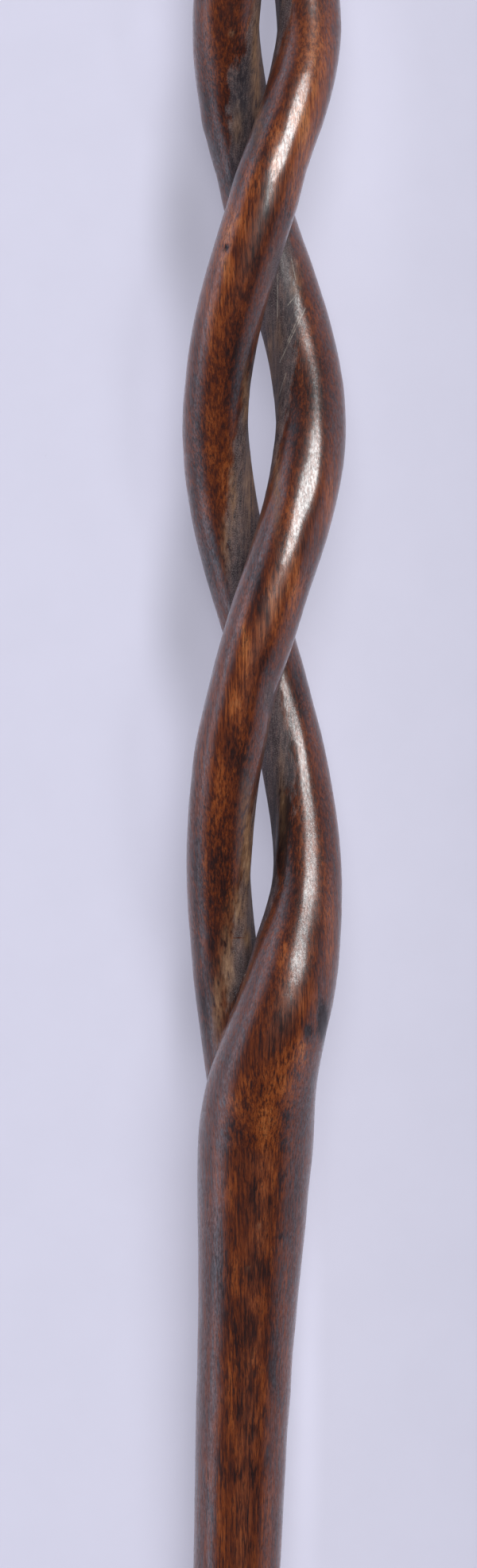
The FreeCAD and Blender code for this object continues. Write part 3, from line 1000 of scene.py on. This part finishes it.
def use_group(tree, group):
    node = tree.nodes.new("ShaderNodeGroup")
    node.node_tree = group
    return node


def bump(tree, height, distance):
    return add_node(tree, "ShaderNodeBump", Height=height, Distance=distance, Strength=1.0).outputs[0]


def attribute(tree, name):
    return add_node(tree, "ShaderNodeAttribute", {"attribute_name": name}).outputs["Fac"]


def hardwood_finish(wood):
    material, tree, surface = new_material("hand_polished_hardwood")
    group = use_group(tree, wood)
    for name in wood_amounts:
        feed(tree, group, socket_title(name), attribute(tree, name))
    made = group.outputs
    feed_all(
        tree, surface, Base_Color=made["Colour"], Roughness=made["Roughness"], Specular_IOR_Level=0.25,
        Coat_Weight=made["Polish"], Coat_Roughness=0.2, Coat_IOR=1.75,
        Normal=bump(tree, made["Height"], 0.06 * mm),
    )
    return material


def peg_finish():
    material, tree, surface = new_material("split_dowel_wood")
    place = object_place(tree)
    fibres = grain_noise(tree, place, 20, 1800, 3)
    colour = mixed(tree, fibres, (0.3, 0.17, 0.08), (0.5, 0.33, 0.18))
    roughness = spread(tree, fibres, 0.2, 0.8, 0.55, 0.75)
    feed_all(tree, surface, Base_Color=colour, Roughness=roughness, Normal=bump(tree, fibres, 0.05 * mm))
    return material


def brass_finish(metal, name, bright, dull):
    material, tree, surface = new_material(name)
    group = use_group(tree, metal)
    feed_all(tree, group, Bright=bright, Dull=dull)
    made = group.outputs
    feed_all(
        tree, surface, Base_Color=made["Colour"], Metallic=1.0, Roughness=made["Roughness"],
        Normal=bump(tree, made["Height"], 0.03 * mm),
    )
    return material


def dress(piece, material):
    piece.data.materials.clear()
    piece.data.materials.append(material)


paper_colour = (0.715, 0.708, 0.85)
seen_paper_colour = (0.755, 0.752, 0.915)      # as the photograph shows it
paper_glow = 0.40                              # how much of its shadows the paper loses to the camera
paper_radius = 60
floor_z = cad_box[0].z - 0.02 * mm
floor_middle = Vector((0, 500 * mm, floor_z))

# Painted shadows on the paper beside the staff: pixel x and y, half width and half length in pixels, and how
# much darker; a negative amount paints a lighter place instead
painted_shadow_patches = (
    (234, 258, 42, 125, 0.28), (230, 772, 40, 115, 0.26), (210, 510, 34, 130, -0.16),
    (208, 985, 34, 120, -0.12), (334, 70, 14, 90, 0.12), (232, 1285, 22, 90, 0.12),
    (386, 1700, 18, 320, -0.1), (205, 20, 40, 90, -0.14), (455, 160, 60, 200, -0.07),
)


def paper_tone(tree, place, far):
    """How light the paper is: darker towards the right by painted shade, mottled, specked, and with painted
    shadows and lighter places beside the staff.
    """
    across = axes_of(tree, place)["X"]
    # Painted shade: the paper is darker towards the right
    painted_shade_right = times(tree, spread(tree, across, 0.02, 0.1, 0.0, 0.085), spread(tree, far, 0.25, 0.7, 1.0, 0.0))
    mottle = grain_noise(tree, place, 1, 45, 3, 0.6)
    specks = grain_noise(tree, place, 1, 420, 4, 0.75, 0.35)
    tone = minus(tree, spread(tree, mottle, 0.3, 0.7, 0.985, 1.0), painted_shade_right)
    tone = times(tree, tone, spread(tree, specks, 0.735, 0.79, 1.0, 0.72))
    # Painted shadows beside the crossings, and painted lighter places beside the staff
    for x, y, wide, long, darker in painted_shadow_patches:
        middle = Vector((*photo_place(x, y), floor_z)) - floor_middle
        off = vector_maths(tree, "SUBTRACT", i0=place, i1=middle)["Vector"]
        off = vector_maths(tree, "DIVIDE", i0=off, i1=(wide * pixel, long * pixel, 1))["Vector"]
        off = vector_maths(tree, "LENGTH", i0=off)["Value"]
        tone = minus(tree, tone, spread(tree, off, 0.0, 1.6, darker, 0.0))
    return tone


def paper_finish():
    """Pale paper that keeps a soft shadow. Away from the staff it turns into an even pale surround."""
    material, tree, surface = new_material("pale_paper")
    feed_all(tree, surface, Roughness=0.75, Specular_IOR_Level=0.2)
    place = object_place(tree)
    far = vector_maths(tree, "LENGTH", i0=place)["Value"]
    tone = paper_tone(tree, place, far)
    feed(tree, surface, "Base Color", mixed(tree, 1.0, tone, paper_colour, "MULTIPLY"))
    even = add_node(tree, "ShaderNodeEmission", Strength=1.0)
    feed(tree, even, "Color", mixed(tree, 1.0, tone, seen_paper_colour, "MULTIPLY"))
    rays = add_node(tree, "ShaderNodeLightPath").outputs
    seen = maths(tree, "MAXIMUM", rays["Is Camera Ray"], rays["Is Glossy Ray"])
    seen = maths(tree, "MAXIMUM", seen, rays["Is Transmission Ray"])
    glow = maths(tree, "MAXIMUM", times(tree, seen, paper_glow), spread(tree, far, 0.65, 1.8))
    blend = add_node(tree, "ShaderNodeMixShader", i0=glow, i1=surface.outputs[0], i2=even.outputs[0])
    feed(tree, tree.nodes["Material Output"], "Surface", blend.outputs[0])
    return material


def lay_paper():
    deselect_all()
    bpy.ops.mesh.primitive_circle_add(
        vertices=96, radius=paper_radius, fill_type="NGON", location=floor_middle
    )
    paper = bpy.context.object
    paper.name = "pale_paper_floor"
    dress(paper, paper_finish())


pale_walls, dark_ceiling = (0.77, 0.78, 0.96), (0.035, 0.035, 0.04)


def set_surround():
    """Pale near the horizon and dark overhead, with the pale walls reaching higher at the sides."""
    world = bpy.data.worlds.new("pale_room")
    bpy.context.scene.world = world
    world.use_nodes = True
    tree = world.node_tree
    background = tree.nodes["Background"]
    towards = add_node(tree, "ShaderNodeTexCoord").outputs["Generated"]
    way = axes_of(tree, towards)
    left = spread(tree, way["X"], 0.1, -0.5)
    right = spread(tree, way["X"], 0.2, 0.8)
    height = minus(tree, way["Z"], times(tree, left, 0.13))
    height = minus(tree, height, times(tree, right, 0.16))
    up = spread(tree, height, 0.0, 0.5)
    feed(tree, background, "Color", mixed(tree, up, pale_walls, dark_ceiling))
    strength = plus(tree, 1.0, times(tree, left, 0.72))
    feed(tree, background, "Strength", minus(tree, strength, times(tree, right, 0.28)))


staff_middle = Vector((twist_x, 474 * mm, twist_rise))     # the middle of what the photograph shows


def hang_softbox(name, way, distance, wide, tall, power, shines=True, lights=True):
    """A round lamp that faces the staff from the given way, distance and size in metres, power in watts."""
    lamp = bpy.data.lights.new(name, "AREA")
    lamp.shape = "ELLIPSE"
    lamp.size, lamp.size_y = wide, tall
    lamp.energy = power
    holder = bpy.data.objects.new(name, lamp)
    bpy.context.scene.collection.objects.link(holder)
    towards = Vector(way).normalized()
    holder.location = staff_middle + towards * distance
    holder.rotation_mode = "QUATERNION"
    holder.rotation_quaternion = towards.to_track_quat("Z", "Y")
    holder.visible_camera = False
    holder.visible_glossy = shines
    holder.visible_diffuse = lights


def set_camera():
    """Straight above the middle of the photograph, so far away that the long side just takes it in."""
    lens, long_side = 300.0, 36.0
    camera = bpy.data.cameras.new("view_from_above")
    camera.lens = lens
    camera.sensor_width = long_side
    holder = bpy.data.objects.new("view_from_above", camera)
    bpy.context.scene.collection.objects.link(holder)
    middle_x, middle_y = photo_place(photo_wide / 2, photo_tall / 2)
    distance = photo_tall * pixel * lens / long_side
    holder.location = (middle_x, middle_y, twist_rise + distance)
    camera.clip_start, camera.clip_end = 0.1, 100
    bpy.context.scene.camera = holder


wood_finish = hardwood_finish(polished_wood_group())
for wooden in wooden_pieces().values():
    dress(wooden, wood_finish)
dress(turned_knob(), wood_finish)
old_metal = old_metal_group()
dress(drawn_ferrule(), brass_finish(old_metal, "aged_brass", bright_brass, dull_brass))
dress(domed_pins(), brass_finish(old_metal, "pin_brass", bright_pin, dull_pin))
dress(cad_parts["head_peg"], peg_finish())

lay_paper()
set_surround()
# A wide lamp lights the staff and its paper, and a nearer and smaller one gives the polish its highlights
hang_softbox(
    "wide_softbox", way=(0.22, 0.3, 0.93), distance=4.5, wide=4.6, tall=4.6, power=200, shines=False
)
hang_softbox(
    "near_softbox", way=(0.27, 0.49, 0.83), distance=1.0, wide=0.52, tall=0.58, power=10.0, lights=False
)
set_camera()
bpy.context.scene.view_settings.view_transform = "Standard"
